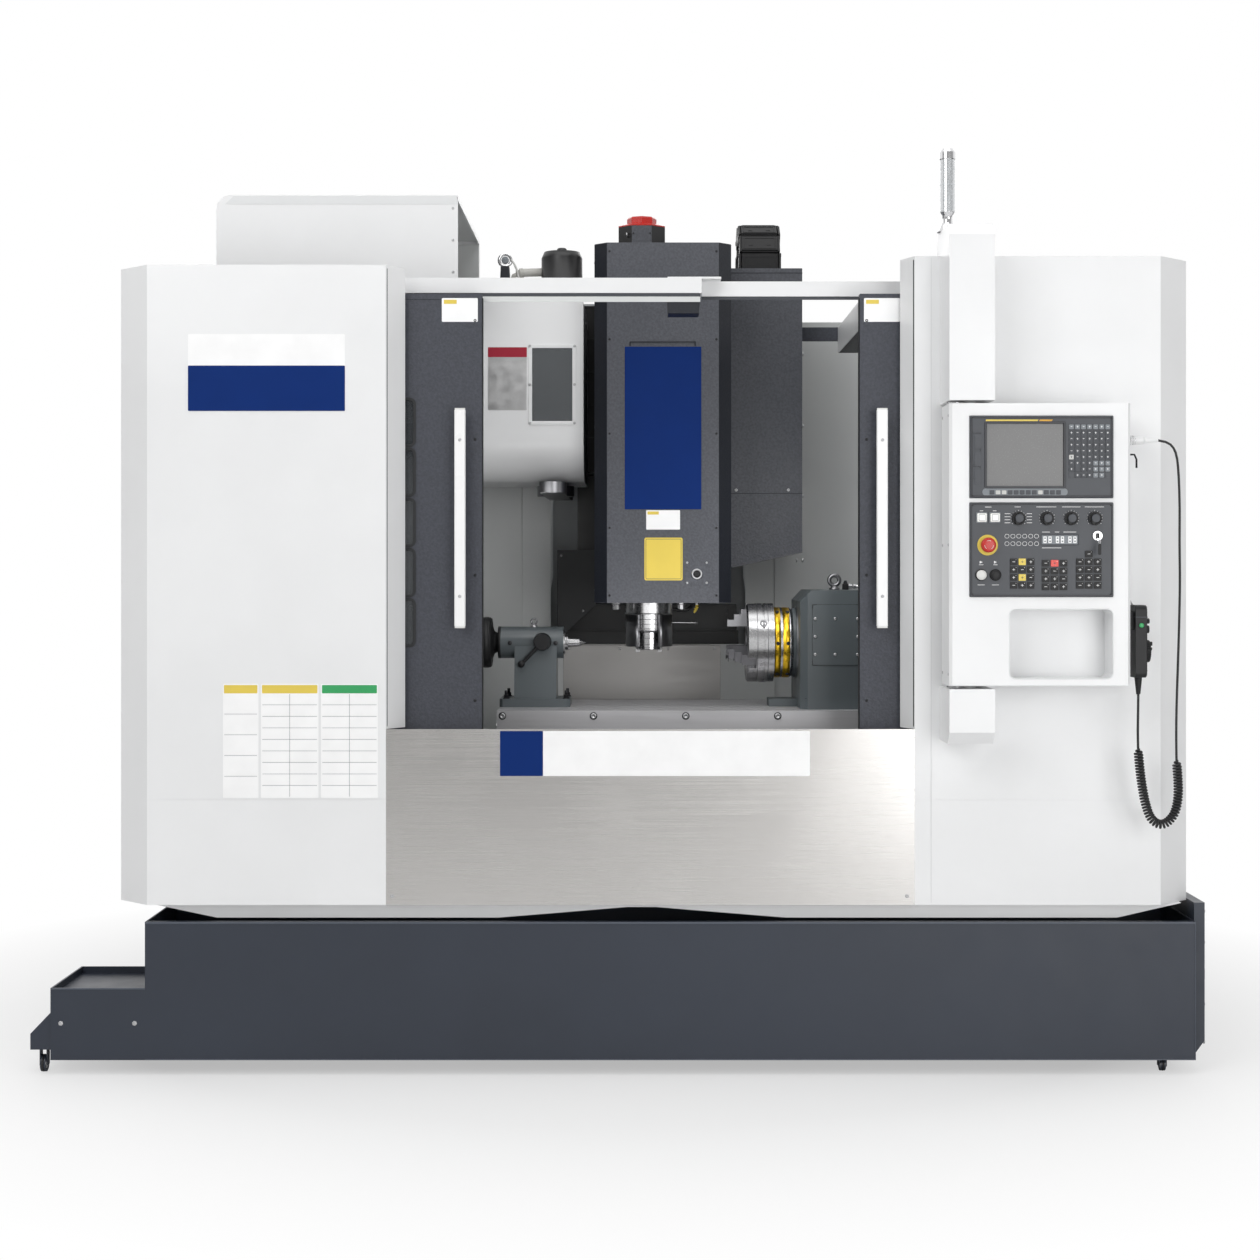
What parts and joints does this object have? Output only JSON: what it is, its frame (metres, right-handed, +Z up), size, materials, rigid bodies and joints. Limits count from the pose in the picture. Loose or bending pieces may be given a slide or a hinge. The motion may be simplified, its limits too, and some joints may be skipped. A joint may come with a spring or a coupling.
{
  "type": "cnc machining center",
  "caption": "Vertical machining center with sliding doors, arm tool changer, swinging pendant, rotary table with chuck, tailstock and roll-out coolant tank.",
  "frame": {"origin": "on the floor, under the middle of the bounding box without the handwheel cord", "axes": "+X to the operator's right, +Y away from the operator, +Z up"},
  "size_m": [3.42, 2.6803, 2.687],
  "materials": {
    "cast_grey": "painted casting",
    "steel": "ground",
    "stainless": "brushed stainless",
    "motor_black": "satin",
    "white_paint": "semi-gloss",
    "light_grey_paint": "semi-gloss",
    "graphite_paint": "wrinkle texture",
    "slate_paint": "satin",
    "equipment_grey": "satin",
    "glass_pane": "tinted",
    "black_plastic": "moulded",
    "panel_grey": "moulded",
    "red_plastic": "gloss",
    "white_plastic": "gloss",
    "green_plastic": "gloss",
    "chrome": "polished",
    "cord_rubber": "satin"
  },
  "bodies": {
    "machine": {"bed": "cast_grey", "levelling_feet": "steel", "column": "cast_grey", "axis_motors": "motor_black", "left_enclosure": "white_paint", "right_enclosure": "white_paint", "rear_enclosure": "light_grey_paint", "front_panel": "stainless", "base_funnel": "white_paint", "door_rails": "white_paint", "magazine_covers": "white_paint", "atc_drive": "motor_black", "tower_light": "chrome", "pendant_arms": "white_paint", "electrical_cabinet": "white_paint", "energy_chain": "black_plastic", "way_covers": "motor_black"},
    "left_door": {"left_door": "graphite_paint", "left_door_panes": "glass_pane", "left_door_handle": "white_paint"},
    "right_door": {"right_door": "graphite_paint", "right_door_panes": "glass_pane", "right_door_handle": "white_paint"},
    "saddle": {"saddle": "cast_grey"},
    "table": {"table": "steel", "tailstock": "equipment_grey", "rotary_table": "equipment_grey"},
    "head": {"head_casting": "cast_grey", "head_covers": "graphite_paint", "spindle_motor": "motor_black", "spindle_cartridge": "steel"},
    "spindle": {"spindle": "steel"},
    "z_screw": {"z_screw": "steel"},
    "quill": {"quill": "steel"},
    "tail_handwheel": {"tail_handwheel": "black_plastic"},
    "clamp_lever": {"clamp_lever": "black_plastic"},
    "chuck": {"chuck": "steel"},
    "jaw_1": {"jaw_1": "steel"},
    "jaw_2": {"jaw_2": "steel"},
    "jaw_3": {"jaw_3": "steel"},
    "magazine": {"magazine_drum": "cast_grey"},
    "changer_arm": {"atc_arm": "steel"},
    "pendant": {"pendant_box": "white_paint", "cnc_unit": "panel_grey", "operator_panel": "panel_grey", "handwheel_unit": "black_plastic", "handwheel_lead": "cord_rubber", "handwheel_coil": "cord_rubber"},
    "handwheel_dial": {"handwheel_dial": "black_plastic"},
    "tank": {"coolant_tank": "slate_paint"},
    "power_on_button": {"power_on_button": "white_plastic"},
    "power_off_button": {"power_off_button": "white_plastic"},
    "knob_1": {"knob_1": "black_plastic"},
    "knob_2": {"knob_2": "black_plastic"},
    "knob_3": {"knob_3": "black_plastic"},
    "knob_4": {"knob_4": "black_plastic"},
    "emergency_stop": {"emergency_stop": "red_plastic"},
    "cycle_start_button": {"cycle_start_button": "white_plastic"},
    "feed_hold_button": {"feed_hold_button": "black_plastic"},
    "key_switch": {"key_switch": "chrome"}
  },
  "joints": [
    {"name": "left_door_slide", "type": "slide", "parent": "machine", "child": "left_door", "axis": [1, 0, 0], "range_m": [0, 0.554]},
    {"name": "right_door_slide", "type": "slide", "parent": "machine", "child": "right_door", "axis": [-1, 0, 0], "range_m": [0, 0.554]},
    {"name": "saddle_slide", "type": "slide", "parent": "machine", "child": "saddle", "axis": [0, 1, 0], "range_m": [-0.3, 0.28]},
    {"name": "table_slide", "type": "slide", "parent": "saddle", "child": "table", "axis": [1, 0, 0], "range_m": [-0.16, 0.15]},
    {"name": "head_lift", "type": "slide", "parent": "machine", "child": "head", "axis": [0, 0, 1], "range_m": [0, 0.6], "deforming": ["energy_chain", "way_covers"]},
    {"name": "spindle_spin", "type": "hinge", "parent": "head", "child": "spindle", "pos_m": [0.09, -0.32, 1.206], "axis": [0, 0, 1], "continuous": true},
    {"name": "z_screw_spin", "type": "hinge", "parent": "machine", "child": "z_screw", "pos_m": [0.09, 0.255, 2.42], "axis": [0, 0, 1], "continuous": true},
    {"name": "tail_handwheel_spin", "type": "hinge", "parent": "table", "child": "tail_handwheel", "pos_m": [-0.396, -0.4, 1.232], "axis": [1, 0, 0], "range_deg": [0, 4320]},
    {"name": "quill_slide", "type": "slide", "parent": "table", "child": "quill", "axis": [1, 0, 0], "range_m": [0, 0.06]},
    {"name": "clamp_lever_turn", "type": "hinge", "parent": "table", "child": "clamp_lever", "pos_m": [-0.252, -0.46, 1.236], "axis": [0, -1, 0], "range_deg": [-40, 50]},
    {"name": "chuck_spin", "type": "hinge", "parent": "table", "child": "chuck", "pos_m": [0.403, -0.4, 1.232], "axis": [1, 0, 0], "continuous": true},
    {"name": "jaw_1_slide", "type": "slide", "parent": "chuck", "child": "jaw_1", "axis": [0, 0, 1], "range_m": [-0.005, 0.009]},
    {"name": "jaw_2_slide", "type": "slide", "parent": "chuck", "child": "jaw_2", "axis": [0, -0.866, -0.5], "range_m": [-0.005, 0.009]},
    {"name": "jaw_3_slide", "type": "slide", "parent": "chuck", "child": "jaw_3", "axis": [0, 0.866, -0.5], "range_m": [-0.005, 0.009]},
    {"name": "magazine_spin", "type": "hinge", "parent": "machine", "child": "magazine", "pos_m": [-0.74, -0.17, 2.21], "axis": [1, 0, 0], "continuous": true},
    {"name": "changer_arm_drop", "type": "slide", "parent": "machine", "child": "changer_arm", "axis": [0, 0, -1], "range_m": [0, 0.115]},
    {"name": "pendant_swing", "type": "hinge", "parent": "machine", "child": "pendant", "pos_m": [0.995, -1.235, 1.138], "axis": [0, 0, 1], "range_deg": [-90, 0]},
    {"name": "power_on_button_press", "type": "slide", "parent": "pendant", "child": "power_on_button", "axis": [0, 1, 0], "range_m": [0, 0.003], "stiffness_N_per_m": 600},
    {"name": "power_off_button_press", "type": "slide", "parent": "pendant", "child": "power_off_button", "axis": [0, 1, 0], "range_m": [0, 0.003], "stiffness_N_per_m": 600},
    {"name": "knob_1_turn", "type": "hinge", "parent": "pendant", "child": "knob_1", "pos_m": [1.124, -1.316, 1.609], "axis": [0, -1, 0], "range_deg": [-135, 135]},
    {"name": "knob_2_turn", "type": "hinge", "parent": "pendant", "child": "knob_2", "pos_m": [1.204, -1.316, 1.609], "axis": [0, -1, 0], "range_deg": [-135, 135]},
    {"name": "knob_3_turn", "type": "hinge", "parent": "pendant", "child": "knob_3", "pos_m": [1.272, -1.316, 1.609], "axis": [0, -1, 0], "range_deg": [-135, 135]},
    {"name": "knob_4_turn", "type": "hinge", "parent": "pendant", "child": "knob_4", "pos_m": [1.338, -1.316, 1.609], "axis": [0, -1, 0], "range_deg": [-135, 135]},
    {"name": "emergency_stop_press", "type": "slide", "parent": "pendant", "child": "emergency_stop", "axis": [0, 1, 0], "range_m": [0, 0.006]},
    {"name": "cycle_start_button_press", "type": "slide", "parent": "pendant", "child": "cycle_start_button", "axis": [0, 1, 0], "range_m": [0, 0.003], "stiffness_N_per_m": 600},
    {"name": "feed_hold_button_press", "type": "slide", "parent": "pendant", "child": "feed_hold_button", "axis": [0, 1, 0], "range_m": [0, 0.003], "stiffness_N_per_m": 600},
    {"name": "key_switch_turn", "type": "hinge", "parent": "pendant", "child": "key_switch", "pos_m": [1.345, -1.316, 1.56], "axis": [0, -1, 0], "range_deg": [-45, 45]},
    {"name": "handwheel_dial_spin", "type": "hinge", "parent": "pendant", "child": "handwheel_dial", "pos_m": [1.491, -1.255, 1.234], "axis": [1, 0, 0], "continuous": true},
    {"name": "tank_roll", "type": "slide", "parent": "machine", "child": "tank", "axis": [0, -1, 0], "range_m": [0, 0.6]}
  ],
  "couplings": [
    {"joint": "z_screw_spin", "follows": "head_lift", "rad_per_m": 392.7},
    {"joint": "quill_slide", "follows": "tail_handwheel_spin", "m_per_rad": 0.00079577},
    {"joint": "jaw_2_slide", "follows": "jaw_1_slide", "ratio": 1},
    {"joint": "jaw_3_slide", "follows": "jaw_1_slide", "ratio": 1}
  ]
}
